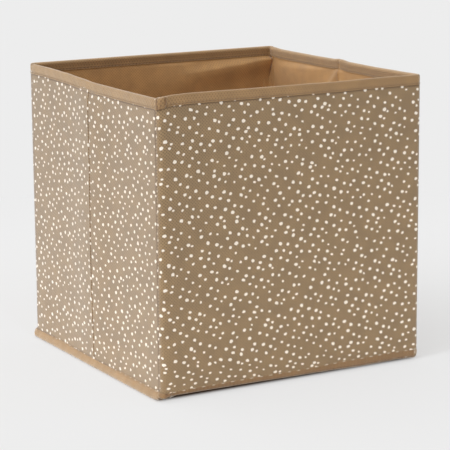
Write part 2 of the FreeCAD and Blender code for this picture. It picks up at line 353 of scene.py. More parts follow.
class Tree:
    """A material's nodes, and short ways to add them."""

    def __init__(self, name):
        self.material = bpy.data.materials.new(name)
        self.material.use_nodes = True
        self.nodes, self.links = self.material.node_tree.nodes, self.material.node_tree.links
        self.shader = self.nodes["Principled BSDF"]

    def add(self, kind, inputs=None, **settings):
        node = self.nodes.new("ShaderNode" + kind)
        for key, value in settings.items():
            setattr(node, key, value)
        for key, value in (inputs or {}).items():
            if isinstance(value, bpy.types.NodeSocket):
                self.links.new(value, node.inputs[key])
            else:
                node.inputs[key].default_value = value
        return node

    def math(self, operation, a, b=0.0, c=0.0):
        return self.add("Math", {0: a, 1: b, 2: c}, operation=operation).outputs[0]

    def plus(self, a, b):
        return self.add("VectorMath", {0: a, 1: b}, operation="ADD").outputs[0]

    def mix(self, factor, a, b):
        return self.add("Mix", {0: factor, 6: a, 7: b}, data_type="RGBA").outputs[2]

    def ramp(self, value, low, high, to_low=0.0, to_high=1.0, kind="SMOOTHSTEP"):
        spans = {"Value": value, "From Min": low, "From Max": high, "To Min": to_low, "To Max": to_high}
        return self.add("MapRange", spans, interpolation_type=kind).outputs[0]

    def noise(self, vector, scale, detail=2.0, roughness=0.5, output="Fac"):
        inputs = {"Vector": vector, "Scale": scale, "Detail": detail, "Roughness": roughness}
        return self.add("TexNoise", inputs, noise_dimensions="3D").outputs[output]

    def stray(self, vector, scale, detail, amount):
        """A small random shift of a place, up to half of amount each way."""
        centred = self.plus(self.noise(vector, scale, detail, output="Color"), (-.5, -.5, -.5))
        return self.add("VectorMath", {0: centred, "Scale": amount}, operation="SCALE").outputs[0]

    def waves(self, vector, spacing, direction, **shape):
        """Soft parallel bands, a set distance apart."""
        inputs = {"Vector": vector, "Scale": 2 * math.pi / (20 * spacing), "Detail": 1.0, **shape}
        return self.add("TexWave", inputs, wave_type="BANDS", bands_direction=direction).outputs["Fac"]

    def bump(self, height, strength, distance, normal=None):
        inputs = {"Height": height, "Strength": strength, "Distance": distance}
        if normal is not None:
            inputs["Normal"] = normal
        return self.add("Bump", inputs).outputs[0]

    def finish(self, colour, roughness, normal, sheen=0.0, sheen_roughness=0.5, specular=0.5, tint=(1, 1, 1)):
        self.links.new(colour, self.shader.inputs["Base Color"])
        self.links.new(roughness, self.shader.inputs["Roughness"])
        self.links.new(normal, self.shader.inputs["Normal"])
        self.shader.inputs["Sheen Weight"].default_value = sheen
        self.shader.inputs["Sheen Roughness"].default_value = sheen_roughness
        self.shader.inputs["Sheen Tint"].default_value = rgba(tint)
        self.shader.inputs["Specular IOR Level"].default_value = specular
        return self.material


def rgba(colour, *amounts):
    """A colour for a socket, with its channels multiplied by one amount or by three."""
    scales = amounts * 3 if len(amounts) == 1 else amounts or (1, 1, 1)
    return (*(min(1, c * k) for c, k in zip(colour, scales)), 1.0)


def spun_cloth(tree, cloth, look):
    """The patterns of a spun-bonded cloth: bond points on a diamond lattice, fine fibres, and thin and thick places."""
    turned = tree.add("Mapping", {"Vector": cloth, "Rotation": (0, 0, math.radians(45))}).outputs[0]
    bars = [tree.waves(turned, look.bond_spacing, d, **{"Distortion": .45, "Detail Scale": 2.0}) for d in "XY"]
    bond = tree.ramp(tree.math("MULTIPLY", *bars), .12, .62)
    drawn = tree.add("Mapping", {"Vector": cloth, "Scale": (900, 5200, 1)}).outputs[0]
    return bond, tree.noise(drawn, 1.0, 3.0, .6), tree.noise(cloth, 55, 3.0, .6)


def printed_dots(tree, cloth, look):
    """Where the print is: ragged dots of uneven size, strayed from an even layout. 1 on a dot and 0 between."""
    strayed = tree.plus(tree.plus(cloth, tree.stray(cloth, 34, 1.0, .0040)), tree.stray(cloth, 430, 2.0, .0019))
    turn = {"Vector": strayed, "Rotation": (0, 0, math.radians(28)), "Scale": (.92, 1.08, 1)}
    layout = tree.add("Mapping", turn).outputs[0]
    cell = {"Vector": layout, "Scale": 1 / look.dot_spacing, "Randomness": look.dot_scatter}
    cells = tree.add("TexVoronoi", cell, voronoi_dimensions="2D", feature="F1").outputs
    chance = tree.add("SeparateColor", {0: cells["Color"]}).outputs[0]
    small, large = [look.dot_width * k / look.dot_spacing for k in (.38, .62)]
    edge = tree.ramp(chance, 0, 1, small, large, "LINEAR")
    return tree.ramp(tree.math("SUBTRACT", cells["Distance"], edge), -.014, .014, 1, 0)


def cloth_material(name, look, base, print_dots=False, depth=1.0, contrast=.78, shine=1.0, nap=.40, tint=(1, 1, 1),
                   crumple=.25):
    """Spun-bonded cloth in one colour. depth and contrast are those of its bond points, shine and nap those of its
    fibres, crumple is how uneven it lies, and the piece's pressed attribute darkens its colour with painted shade along
    its creases, seams, hems and stitch lines."""
    tree = Tree(name)
    cloth = tree.add("UVMap", uv_map="cloth").outputs[0]
    bond, fibre, cloud = spun_cloth(tree, cloth, look)
    thin, pressed_in, shade = tree.ramp(cloud, .3, .7), rgba(base, .42), rgba(base, .34, .22, .12)
    ground = tree.mix(thin, rgba(base), rgba(base, 1.26))
    ground = tree.mix(tree.math("MULTIPLY", bond, contrast), ground, pressed_in)
    ground = tree.mix(tree.ramp(fibre, .35, .75, 0, .22), ground, rgba(base, 1.5))
    height = tree.math("ADD", tree.math("MULTIPLY", bond, -.8), tree.math("MULTIPLY", fibre, .45))
    # painted shade: the piece's pressed attribute, broken into soft bands along the cloth, mixes its colour towards a
    # dark brown shade
    mark = tree.add("Attribute", attribute_name="pressed").outputs["Fac"]
    uneven = tree.ramp(tree.waves(cloth, .0042, "X", Distortion=1.5), .2, .8, .62, 1)
    colour = tree.mix(tree.math("MULTIPLY", mark, uneven), ground, shade)
    rough = tree.ramp(cloud, .3, .7, look.roughness - .05, look.roughness + .05, "LINEAR")
    if print_dots:
        dot = printed_dots(tree, cloth, look)
        rubbed = tree.math("ADD", tree.math("MULTIPLY", bond, .35), tree.math("MULTIPLY", fibre, .5))
        ink = tree.mix(thin, rgba(look.ink, .93), rgba(look.ink))
        # painted shade: a thin dark line on the cover just under the rim tape's hem
        up = tree.add("SeparateXYZ", {0: cloth}).outputs[1]
        from_hem = tree.math("ABSOLUTE", tree.math("SUBTRACT", up, RIM_HEM - .0010))
        colour = tree.mix(tree.ramp(from_hem, .0002, .0010, .5, 0), colour, shade)
        colour = tree.mix(tree.math("MULTIPLY", dot, tree.ramp(rubbed, .45, .8, 1, .90)), colour, ink)
        height = tree.math("ADD", height, tree.math("MULTIPLY", dot, .35))
        rough = tree.math("SUBTRACT", rough, tree.math("MULTIPLY", dot, .12))
    soft = tree.bump(tree.noise(cloth, 26, 2.0), crumple, .0012)
    normal = tree.bump(height, min(1, look.relief * depth), .00015, soft)
    return tree.finish(colour, rough, normal, look.sheen * shine, nap, .5, tint)


def thread_material(name, thread):
    tree = Tree(name)
    place = tree.add("TexCoord").outputs["Object"]
    twist = tree.noise(place, 2600, 2.0)
    colour = tree.mix(tree.ramp(twist, .35, .65), rgba(thread, .75), rgba(thread))
    return tree.finish(colour, tree.ramp(twist, 0, 1, .5, .7), tree.bump(twist, .5, .0001), .2)


def card_material():
    tree = Tree("card_stock")
    place = tree.add("TexCoord").outputs["Object"]
    flecks, cloud = tree.noise(place, 700, 4.0, .7), tree.noise(place, 28, 2.0)
    colour = tree.mix(tree.ramp(cloud, .3, .7), (.23, .19, .14, 1), (.33, .28, .21, 1))
    colour = tree.mix(tree.ramp(flecks, .55, .8, 0, .5), colour, (.12, .10, .08, 1))
    return tree.finish(colour, tree.ramp(flecks, .2, .8, .8, .95), tree.bump(flecks, .3, .0002))


# ---------------------------------------------------------------- settings

def colour(name, description, default):
    return bpy.props.FloatVectorProperty(
        name=name, description=description, subtype="COLOR", size=3, min=0, max=1, default=default)


def share(name, description, default):
    return bpy.props.FloatProperty(name=name, description=description, min=0, max=1, default=default)


def distance(name, description, default):
    return bpy.props.FloatProperty(
        name=name, description=description, subtype="DISTANCE", unit="LENGTH", default=default)


def strength(name, description, default, **kind):
    return bpy.props.FloatProperty(name=name, description=description, min=0, default=default, **kind)


class ClothLook(bpy.types.PropertyGroup):
    """Colours and surface of the cloths, tape and thread"""

    ground: colour("Cover ground", "Ground colour of the printed cover", (.282, .184, .0905))
    ink: colour("Dots", "Colour of the printed dots", (.98, .88, .76))
    lining: colour("Lining", "Colour of the plain lining", (.44, .245, .093))
    tape: colour("Tape", "Colour of the binding tape", (.325, .188, .0765))
    thread: colour("Thread", "Colour of the rim's sewing thread", (.40, .27, .15))
    pale_thread: colour("Pale thread", "Colour of the foot's sewing thread", (.86, .77, .63))
    roughness: share("Roughness", "Roughness of the spun cloth", .68)
    sheen: share("Sheen", "Soft shine of the fibres at a low angle", .9)
    relief: share("Relief", "Strength of the bond points and fibres", .7)
    bond_spacing: distance("Bond spacing", "Distance between bond points", .0023)
    dot_spacing: distance("Dot spacing", "Average distance between printed dots", .0089)
    dot_width: distance("Dot width", "Usual width of a printed dot", .0031)
    dot_scatter: share("Dot scatter", "How far the dots stray from an even layout", .60)


class TapeSizes(bpy.types.PropertyGroup):
    """Sizes of the cloths, tapes and stitches"""

    cloth: distance("Cloth", "Thickness of one cloth", COVER_BACK - COVER - CARD - CLEAR)
    tape: distance("Tape", "Thickness of one layer of tape", .00045)
    stitch_length: distance("Stitch", "Length of a stitch", .0030)
    stitch_gap: distance("Gap", "Gap between stitches", .0012)
    stitch_width: distance("Thread width", "Width of the sewing thread", .00060)


class StageLook(bpy.types.PropertyGroup):
    """Floor, lamps and camera"""

    floor: colour("Floor", "Colour of the floor", (.95, .95, .95))
    shown: colour("Floor as seen", "Colour of the floor as the camera sees it", (.80, .80, .80))
    sun: strength("Key lamp", "Strength of the key lamp", .6)
    sky: strength("Room light", "Strength of the light from all round", .72)
    side: strength("Side light", "Extra strength of the broad light from the left", .93)
    fill: strength("Low fill", "Power of the soft low lamp in front", .50, subtype="POWER", unit="POWER")
    fade: share("Floor evenness", "How much of the floor's own shading the plain backdrop covers", .58)
    fade_ahead: share("Floor evenness in front", "The same, in front of the cube and on its left", .80)
    backdrop: strength("Backdrop", "Brightness of the plain backdrop", .847)


FINISHES = {}


def finishes():
    """The cube's materials, made once."""
    if not FINISHES:
        look = bpy.context.scene.cube_cloth
        FINISHES["printed_cloth"] = cloth_material("printed_spun_cloth", look, look.ground, print_dots=True)
        FINISHES["seam_cloth"] = cloth_material("seam_spun_cloth", look, look.ground)
        FINISHES["lining_cloth"] = cloth_material(
            "plain_spun_cloth", look, look.lining, depth=1.3, contrast=.42, shine=.5, crumple=.42)
        FINISHES["tape"] = cloth_material(
            "binding_tape", look, look.tape, depth=1.3, contrast=.65, nap=.46, tint=(1, .90, .76))
        FINISHES["thread"] = thread_material("tan_thread", look.thread)
        FINISHES["pale_thread"] = thread_material("pale_thread", look.pale_thread)
        FINISHES["card"] = card_material()
    return FINISHES


# ---------------------------------------------------------------- pieces

class CUBE_OT_cards(bpy.types.Operator):
    """Gives the card stiffeners their finish"""

    bl_idname = "cube.cards"
    bl_label = "Cards"

    def execute(self, context):
        made = finishes()
        for name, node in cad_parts.items():
            if name.endswith("_board"):
                for slot in node.material_slots:
                    slot.material = made["card"]
        return {"FINISHED"}


def crease(wall, u):
    """Depth of the sharp stitched groove down the middle of a side wall."""
    x = abs(u - wall.length / 2)
    groove, lips = .0009 * math.exp(-max(0, x - CREASE["cover"]) / .00035), .00014 * ridge(x - .0019, .0011)
    return groove - lips


def cover(wall, cloth):
    """The printed cover of one wall. A long wall's cover turns both corners."""
    line_low, line_high = FOOT_HEM - .0012, FOOT_HEM + .0020
    up = spread((CLOTH_BOTTOM, line_low, 4), (line_low, line_high, 6), (line_high, .03, 7), (.03, .27, 40),
                (.27, CLOTH_TOP, 8))
    name, height, finish = f"{wall.name}_cover_cloth", CLOTH_TOP - CLOTH_BOTTOM, "printed_cloth"
    if wall.long:
        total = around_length(wall, COVER, 3)

        def place(t, z):
            u, depth, out = around(wall, COVER, t)
            allowance = .00028 * ease((u - .0088) / .0012) * (1 - ease((u - .02) / .02)) if t < 2 else 0
            lapped = .00012 * (ease(1 - t / .10) + ease((t - 2.90) / .10))
            return wall.at(u, depth, z + rise(wall, u, z)) + out * (swell(wall, u, z) + allowance + lapped)

        def flat(t, z):
            return around_length(wall, COVER, t) + {"front": .31, "back": .93}[wall.name], z

        # painted shade on the lapped ends that pass the corner seams
        def pressed(t, z):
            return .5 * (min(t, 3 - t) < -.01)

        across = long_stops(56, 10, .10)
        return sheet_mesh(name, across, up, place, flat, cloth, finish, pressed=pressed), (total, height)

    def place(u, z):
        tuck = .00035 * (ease(1 - (u - SEAM) / .0016) + ease(1 - (wall.length - SEAM - u) / .0016))
        step = swell(wall, u, z) - crease(wall, u) - tuck
        return wall.at(u, COVER - step, z + rise(wall, u, z))

    def flat(u, z):
        return u + {"left": 0, "right": .62}[wall.name], z

    # painted shade: a line just above the foot tape's hem, a line along the crease, and a line beside each corner seam
    def pressed(u, z):
        foot = .6 * ridge(z - FOOT_HEM - .0005, .0007)
        fold = .60 * ridge(max(0, abs(u - wall.length / 2) - CREASE["cover"]), .0005)
        return foot + fold + .75 * ridge(min(u, wall.length - u) - SEAM - .0018, .0014)

    across = side_stops(wall, 24, CREASE["cover"])
    return sheet_mesh(name, across, up, place, flat, cloth, finish, pressed=pressed), (wall.length - 2 * SEAM, height)


class CUBE_OT_covers(bpy.types.Operator):
    """Makes the printed covers of the four walls"""

    bl_idname = "cube.covers"
    bl_label = "Printed covers"

    def execute(self, context):
        for wall in WALLS.values():
            piece, flat = cover(wall, context.scene.cube_sizes.cloth)
            settle(piece, wall, "cover", flat, "board")
        return {"FINISHED"}


# Folds of the slack lining: from (u, z) to (u, z), height, width on the near and far side, in metres
FOLDS = {
    "front": [(.05, .28, .02, .05, .0006, .02, .03), (.26, .28, .29, .06, .0006, .03, .02)],
    "right": [
        (.1535, .288, .182, .258, .0024, .006, .004), (.1535, .288, .132, .255, .0022, .005, .007),
        (.195, .284, .268, .280, .0030, .022, .006), (.175, .262, .27, .232, .0030, .020, .014),
    ],
    "back": [
        (-.006, .2890, .033, .2835, .0078, .013, .0045), (.033, .2835, .104, .2762, .0072, .015, .006),
        (.104, .2762, .150, .262, .0030, .02, .02), (.11, .262, .24, .20, .0012, .03, .05),
    ],
    "left": [(.03, .26, .12, .10, .0008, .02, .03)],
}


def slack(wall, u, z):
    """How far the lining stands into the cube."""
    held = ease((RIM_HEM + .0002 - z) / .0045) * ease((z - .01) / .03)
    total = 0
    for u0, z0, u1, z1, height, near, far in FOLDS[wall.name]:
        run = Vector((u1 - u0, z1 - z0))
        length = run.length
        run.normalize()
        p = Vector((u - u0, z - z0))
        along, off = p.dot(run), p.x * run.y - p.y * run.x
        fade = ease((along + .02) / .04) * ease((length + .03 - along) / .06)
        total += height * fade * ridge(off, near if off > 0 else far)
    return held * total


def lining(wall, cloth):
    """The plain lining of one wall, between its neighbours' linings."""
    up = spread((CLOTH_BOTTOM, .03, 5), (.03, .2, 20), (.2, .25, 12), (.25, .292, 42), (.292, CLOTH_TOP, 3))
    start = LINING_FACE + .0006 if wall.long else SEAM
    across = spread((start, wall.length - start, 110)) if wall.long else side_stops(wall, 36, CREASE["lining"])

    def place(u, z):
        step = slack(wall, u, z)
        if not wall.long:
            step += (.0010 if wall.name == "right" else .0002) * ridge(u - wall.length / 2, .0012)
        return wall.at(u, LINING_FACE + step, z + rise(wall, u, z))

    def flat(u, z):
        return u, z

    # painted shade along a side wall's crease, just to one side of it
    def pressed(u, z):
        return 0 if wall.long else .8 * ridge(u - wall.length / 2 - .0012, .0011)

    name = f"{wall.name}_lining_cloth"
    piece = sheet_mesh(name, across, up, place, flat, cloth, "lining_cloth", flip=True, pressed=pressed)
    return piece, (wall.length - 2 * start, CLOTH_TOP - CLOTH_BOTTOM)


class CUBE_OT_linings(bpy.types.Operator):
    """Makes the slack plain linings of the four walls"""

    bl_idname = "cube.linings"
    bl_label = "Linings"

    def execute(self, context):
        for wall in WALLS.values():
            piece, flat = lining(wall, context.scene.cube_sizes.cloth)
            settle(piece, wall, "lining", flat, "board")
            if wall.long:
                wall.at(0, LINING_FACE, 0)
                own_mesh(piece)
        return {"FINISHED"}


# The rim tape's section, from its outer hem over the top to its inner hem: depth and height under the top, in mm
RIM_SECTION = [
    (2.5, 10.1), (2.6, 9.4), (2.95, 8.6), (2.8, 7.8), (2.65, 6.2), (2.6, 4.2), (2.65, 2.4), (2.85, 1.1), (3.4, .25),
    (4.5, -.15), (6.0, .05), (7.4, .8), (8.2, 1.9), (7.95, 3.4), (7.0, 5.6), (7.6, 7.9), (6.95, 9.1), (7.25, 9.7),
    (7.4, 10.3),
]
RIM_TOP = 9  # the section's step on the very top, between its outer and its inner leg


def section_length(section):
    """Length of a section in metres, from points in mm."""
    return sum(math.dist(a, b) for a, b in zip(section, section[1:])) * MM


def section_at(section, b):
    """A point of a section, b from 0 to its number of steps."""
    i = min(int(b), len(section) - 2)
    return [p + (q - p) * (b - i) for p, q in zip(section[i], section[i + 1])]


def ripple(x, seed):
    """Small uneven puckers along a sewn edge, from -1 to 1."""
    return .5 * math.sin(x * 760 + seed) + .3 * math.sin(x * 1490 + 2.1 * seed) + .2 * math.sin(x * 333 + 3.7 * seed)


def lap(x, length, depth):
    """A long wall's tape at its corners: how far its ends lie over the side tapes, how far the folded patch at its
    left corner stands out, and how far the patch's hem hangs."""
    over = depth * (1 - ease(x / .0016) + ease((x - length + .0016) / .0016))
    patch = (.00095 + .00022 * math.sin(x * 1300)) * ease((x - .0014) / .0009) * (1 - ease((x - .0112) / .0007))
    crook = .0006 * ease(x / .002) * (1 - ease((x - .0108) / .0012))
    return over, patch, crook


def patch_crease_shade(x, up):
    """How much shade is painted along the creases of the folded patch at the left end of the front's rim tape: one down
    each side, and two slanting wrinkles. up is 0 at the hem and 1 at the top."""
    lines = [
        (.0012 + .0022 * (1 - up) + .0003 * math.sin(9 * up), .0011, .95 - .25 * up),
        (.0118 - .0014 * up + .0004 * math.sin(7 * up), .0012, .95 * (1 - up ** 1.5)),
        (.0048 + .0030 * up, .0008, .6 * (1 - up)),
        (.0080 + .0028 * up, .0008, .5),
    ]
    return sum(amount * ridge(x - at, width) for at, width, amount in lines)


def rim_tape(wall, thick):
    """The tape folded over the top edge of one wall. A long wall's tape turns both corners, over the side tapes."""
    steps = len(RIM_SECTION) - 1
    total = section_length(RIM_SECTION)
    total_x = cloth_length(wall, RIM)
    seed = len(wall.name) * 1.7

    def place(t, b):
        depth, under = section_at(RIM_SECTION, b)
        u, level, out = cloth_place(wall, depth * MM, t)
        x, outer = cloth_along(wall, RIM, t), b < RIM_TOP
        hem = max(0, 1 - min(b, steps - b) / 2.5)
        wave = ripple(x, seed + (0 if outer else 5))
        push = .00012 * wave * hem + .00010 * ripple(x * .45, seed + b * .3)
        z = SIZE.z - under * MM + rise(wall, u, SIZE.z) + .00016 * wave * hem
        if outer and (wall.name != "front" or t > 1):
            from_end = min(u - SEAM, wall.length - SEAM - u)
            push -= .0006 * (min(1, max(0, 1 - t, t - 2) * 3) if wall.long else ease(1 - from_end / .01))
        patched = wall.name == "front" and t < 2
        if wall.long:
            slant = .0004 * (b - 4) if outer else 0
            lapped, patch, crook = lap(x - slant, total_x, .0004 if patched else .0001)
            push += lapped + (patch * min(1, max(0, 10 - b) / 3) if patched else 0)
            z -= crook * (1 - min(b / RIM_TOP, 1)) if patched else 0
        elif wall.name == "right":
            pinch = ridge(u - wall.length / 2, .0022)
            push -= .0004 * pinch
            z -= .0003 * pinch
        return wall.at(u, level, z) + out * push * (1 if outer else -1)

    def flat(t, b):
        return cloth_along(wall, RIM, t), b / steps * total

    # painted shade: lines along both legs' stitch grooves, a band in the inner leg's hollow, the folded patch's creases
    # at the front's left end, and the right wall's pinch at its crease
    def pressed(t, b):
        line = .75 * (abs(b - 2) < .5) + .85 * (abs(b - 16) < .5) + .22 * (abs(b - 14) < .5)
        if wall.name == "front" and t < 2 and b < 11:
            x = cloth_along(wall, RIM, t)
            line = line * ease((x - .012) / .004) + patch_crease_shade(x, b / RIM_TOP)
        elif wall.name == "right":
            line += .6 * ridge(t - wall.length / 2, .0011)
        return line

    across = long_stops(120, 20, .09) if wall.long else side_stops(wall, 50, CREASE["tape"])
    rows, name = spread((0, steps, steps)), f"{wall.name}_rim_tape"
    return sheet_mesh(name, across, rows, place, flat, thick, "tape", pressed=pressed), (total_x, total)


class CUBE_OT_rim_tapes(bpy.types.Operator):
    """Makes the tape that is folded over the top edge"""

    bl_idname = "cube.rim_tapes"
    bl_label = "Rim tapes"

    def execute(self, context):
        for wall in WALLS.values():
            piece, flat = rim_tape(wall, context.scene.cube_sizes.tape)
            settle(piece, wall, "rim_binding", flat, "cover")
        return {"FINISHED"}


# The foot tape's section, from its outer hem under the wall to its inner hem: depth, its depth where it is rolled in,
# and height, in mm
FOOT_SECTION = [
    (2.9, 2.85, 10.1), (2.7, 2.7, 9.5), (1.7, 2.5, 9.0), (.7, 2.35, 7.8), (.1, 2.35, 6.2), (-.3, 2.45, 4.3),
    (-.1, 2.75, 2.4), (.6, 3.2, 1.1), (1.7, 3.9, .25), (3.2, 4.9, -.25), (5.0, 6.1, -.3), (6.4, 7.1, .1),
    (7.3, 7.7, 1.1), (7.7, 7.9, 2.4), (7.7, 7.9, 4.5), (7.3, 7.6, 7.0), (7.0, 7.3, 9.4),
]
FOOT_UNDER = 9  # the section's step that starts its inner half


def foot_tape(wall, thick):
    """The tape folded under the bottom edge of one wall, rolled in where that edge stands clear of the floor."""
    count = len(FOOT_SECTION) - 1
    seed = len(wall.name) * 2.3
    total = section_length([(full, z) for full, rolled, z in FOOT_SECTION])
    hem = FOOT_SECTION[1][2]
    front = wall.name == "front"

    def at_cloth(table, t):
        return along_wall(table, wall, cloth_place(wall, COVER, t)[0])

    def place(t, b):
        full, rolled, z = section_at(FOOT_SECTION, b)
        x, lift = cloth_along(wall, COVER, t), at_cloth(LIFT, t)
        depth = full + (rolled - full) * at_cloth(ROLL, t)
        top = hem * MM + (at_cloth(HEM_RISE, t) if b < count / 2 else lift * 1.15)
        height = lift + z * (MM if z < 0 else (top - lift) / hem)
        u, level, out = cloth_place(wall, depth * MM, t)
        height += .00025 * ripple(x * .8, seed) if b < 2 else 0
        push = 0
        if b < FOOT_UNDER:
            push = .00022 * ripple(x * .5, seed + b * .25) * min(1, b / 3)
            if wall.long:
                push += .00045 * (1 - ease((x - .0128 + .0004 * b) / .0012)) - .0006 * ease((t - 1.98) / .1) * front
        return wall.at(u, level, max(height, 0)) + out * push

    def flat(t, b):
        return cloth_along(wall, COVER, t), b / count * total

    # painted shade: a line along the outer hem, the part rolled in under the wall and its underside, the front's
    # near-left end, and the creases at the front's left corner
    def pressed(t, b):
        x, under = cloth_along(wall, COVER, t), 1.8 < b < 12
        line = .6 * (abs(b - 1.5) < .3)
        line += at_cloth(ROLL, t) * (.40 * under + .35 * (5.5 < b < 9.5))
        line += .15 * front * (1 - ease((x - .05) / .06)) * under
        if front and t < 2 and b < 10:
            line += .9 * ridge(x - .0132 + .0004 * b, .0010) + .6 * ridge(x - .0060 - .0005 * b, .0008)
        return line

    across = long_stops(100, 12, .09) if wall.long else side_stops(wall, 44, CREASE["tape"])
    rows, name = spread((0, count, count * 2)), f"{wall.name}_foot_tape"
    piece = sheet_mesh(name, across, rows, place, flat, thick, "tape", flip=True, pressed=pressed)
    return piece, (cloth_length(wall, COVER), total)


class CUBE_OT_foot_tapes(bpy.types.Operator):
    """Makes the tape that is folded under the walls"""

    bl_idname = "cube.foot_tapes"
    bl_label = "Foot tapes"

    def execute(self, context):
        for wall in WALLS.values():
            piece, flat = foot_tape(wall, context.scene.cube_sizes.tape)
            settle(piece, wall, "foot_binding", flat, "cover")
        return {"FINISHED"}


def floor_sheet(node, z, thick, edge, finish):
    """A cloth of the floor at height z, whose edges rise to the foot tapes. It belongs to the front wall."""
    low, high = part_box(node)
    mid = (low + high) / 2
    reach = (high - low) / 2
    across = spread((-1, -.96, 8), (-.96, .96, 40), (.96, 1, 8))

    def place(a, b):
        near = max(ease((abs(a) - .965) / .035), ease((abs(b) - .965) / .035))
        x, y = mid.x + a * reach.x, mid.y + b * reach.y
        soft = .0004 * math.sin(x * 31 + 1) * math.sin(y * 27 + 2) + .0004
        lifted = .0040 * ease((-b - .86) / .14) * (1 - ease((abs(a) - .86) / .14))
        return Vector((x, y, z + soft * (1 - near) + edge * near + lifted))

    def flat(a, b):
        return a * reach.x, b * reach.y

    piece = sheet_mesh(f"{node}_cloth", across, across, place, flat, thick, finish)
    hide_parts(node)
    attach(piece, "front_wall")
    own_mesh(piece)


class CUBE_OT_floor_cloths(bpy.types.Operator):
    """Makes the two cloths of the cube's floor"""

    bl_idname = "cube.floor_cloths"
    bl_label = "Floor cloths"

    def execute(self, context):
        cloth = context.scene.cube_sizes.cloth
        floor_sheet("floor_lining", .0016, cloth, .0070, "lining_cloth")
        floor_sheet("floor_cover", .0007, cloth, .0026, "printed_cloth")
        return {"FINISHED"}


# Each corner's long wall and side wall, and the bodies that they ride on: none where the corner has no joint
CORNERS = {
    "front_left": ("front", "left", "front_wall", "left_front_panel"),
    "front_right": ("front", "right", "front_wall", "right_front_panel"),
    "back_left": ("back", "left", "back_wall", "left_rear_panel"),
    "back_right": ("back", "right", "back_wall", None),
}


def corner_strip(name, long_wall, side_wall, path, thick, finish, flip):
    """A strip of cloth down a vertical corner, on a path of (distance from the side wall's face, distance from the
    long wall's face)."""
    low, high = CLOTH_BOTTOM + .001, CLOTH_TOP - .0015
    corner = Vector((side_wall.corner.x, long_wall.corner.y, 0))
    lengths = [0]
    for a, b in zip(path, path[1:]):
        lengths.append(lengths[-1] + math.dist(a, b))

    def place(i, z):
        x, y = path[round(i)]
        along_side = y if side_wall.corner.y * long_wall.corner.y > 0 else side_wall.length - y
        along_long = x if side_wall.corner.x * long_wall.corner.x > 0 else long_wall.length - x
        up = along_wall(RISE, side_wall, along_side) * ease((z - .10) / .18)
        up += along_wall(LIFT, long_wall, along_long) * (1 - ease((z - low) / .03))
        return corner - side_wall.out * x - long_wall.out * y + Vector((0, 0, z + up))

    def flat(i, z):
        return lengths[round(i)], z

    piece = sheet_mesh(name, list(range(len(path))), spread((low, high, 30)), place, flat, thick, finish, flip)
    return piece, (lengths[-1], high - low)


def strip_paths():
    """The paths of the strips behind a corner's seam and inside its lining."""
    under, face, r, quarter = COVER + .0009, LINING_FACE, .0024, math.pi / 2
    bend = TURN - under
    bends = [quarter * (1 - i / 10) for i in range(11)]
    outer = [(TURN - bend * math.cos(a), TURN - bend * math.sin(a)) for a in bends]
    outer += [(under, y) for y in spread((TURN, SEAM, 6), (SEAM, .0122, 4))[1:]]
    turn = [(face + r - r * math.cos(a), face + r - r * math.sin(a)) for a in (quarter * i / 8 for i in range(9))]
    level, ends = face + .00012, (.0112, .0130, .0150)
    return outer, [(level, y) for y in reversed(ends)] + turn + [(x, level) for x in ends]


class CUBE_OT_corner_strips(bpy.types.Operator):
    """Makes the cloth that joins the walls at the vertical corners, behind the seams and inside the lining"""

    bl_idname = "cube.corner_strips"
    bl_label = "Corner strips"

    def execute(self, context):
        thick = context.scene.cube_sizes.cloth * .6
        outer, inner = strip_paths()
        kinds = (("seam_strip", outer, "seam_cloth", "printed_cloth", .0004),
                 ("lining_strip", inner, "lining_cloth", "lining_cloth", .0008))
        for key, (long_name, side_name, long_body, side_body) in CORNERS.items():
            long_wall, side = WALLS[long_name], WALLS[side_name]
            mirrored = key in ("front_right", "back_left")
            for part, path, finish, slot, half_bend in kinds:
                piece, flat = corner_strip(f"{key}_{part}", long_wall, side, path, thick, finish, mirrored)
                if side_body is None:
                    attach(piece, long_body)
                else:
                    same_side = side.corner.y * long_wall.corner.y > 0
                    y = side.at(SEAM - .0002 if same_side else side.length - SEAM + .0002, 0, 0).y
                    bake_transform(piece)
        return {"FINISHED"}


def stitch(bm, place, along, size, long):
    """One stitch: a small long bead of thread."""
    out = Vector((0, 0, 1)).cross(along)
    turn = Matrix((along, out, (0, 0, 1))).transposed().to_4x4()
    shape = Matrix.Diagonal((long / 2, size.stitch_width / 2, size.stitch_width / 2, 1))
    matrix = Matrix.Translation(place) @ turn @ shape
    bmesh.ops.create_uvsphere(bm, u_segments=6, v_segments=4, radius=1, matrix=matrix)


def stitch_row(name, wall, depth, height, size, seed, spaced=1.0, thread="thread"):
    """A row of stitches along a wall, at a depth and a height."""
    rng = random.Random(seed)
    uneven_along, uneven_up = .0001, .00012
    bm = bmesh.new()
    long = size.stitch_length * min(spaced, 1.6)
    step = (size.stitch_length + size.stitch_gap) * spaced
    for i in range(int(cloth_length(wall, depth) / step)):
        x = (i + .5) * step + rng.uniform(-1, 1) * uneven_along
        if wall.long:
            r, flat = (TURN - depth) * math.pi / 2, wall.length - 2 * TURN
            t = x / r if x < r else 1 + (x - r) / flat if x < r + flat else 2 + (x - r - flat) / r
            u, level, out = around(wall, depth, t)
        else:
            u, level, out = x + SEAM, depth, wall.out
        along = Vector((0, 0, 1)).cross(out) * -1
        place = wall.at(u, level, height(u)) + Vector((0, 0, rng.uniform(-1, 1) * uneven_up))
        stitch(bm, place, along, size, long * rng.uniform(.9, 1.1))
    for face in bm.faces:
        face.smooth = True
    piece = finish_mesh(name, bm, finishes()[thread])
    carry(piece, wall, "tape")


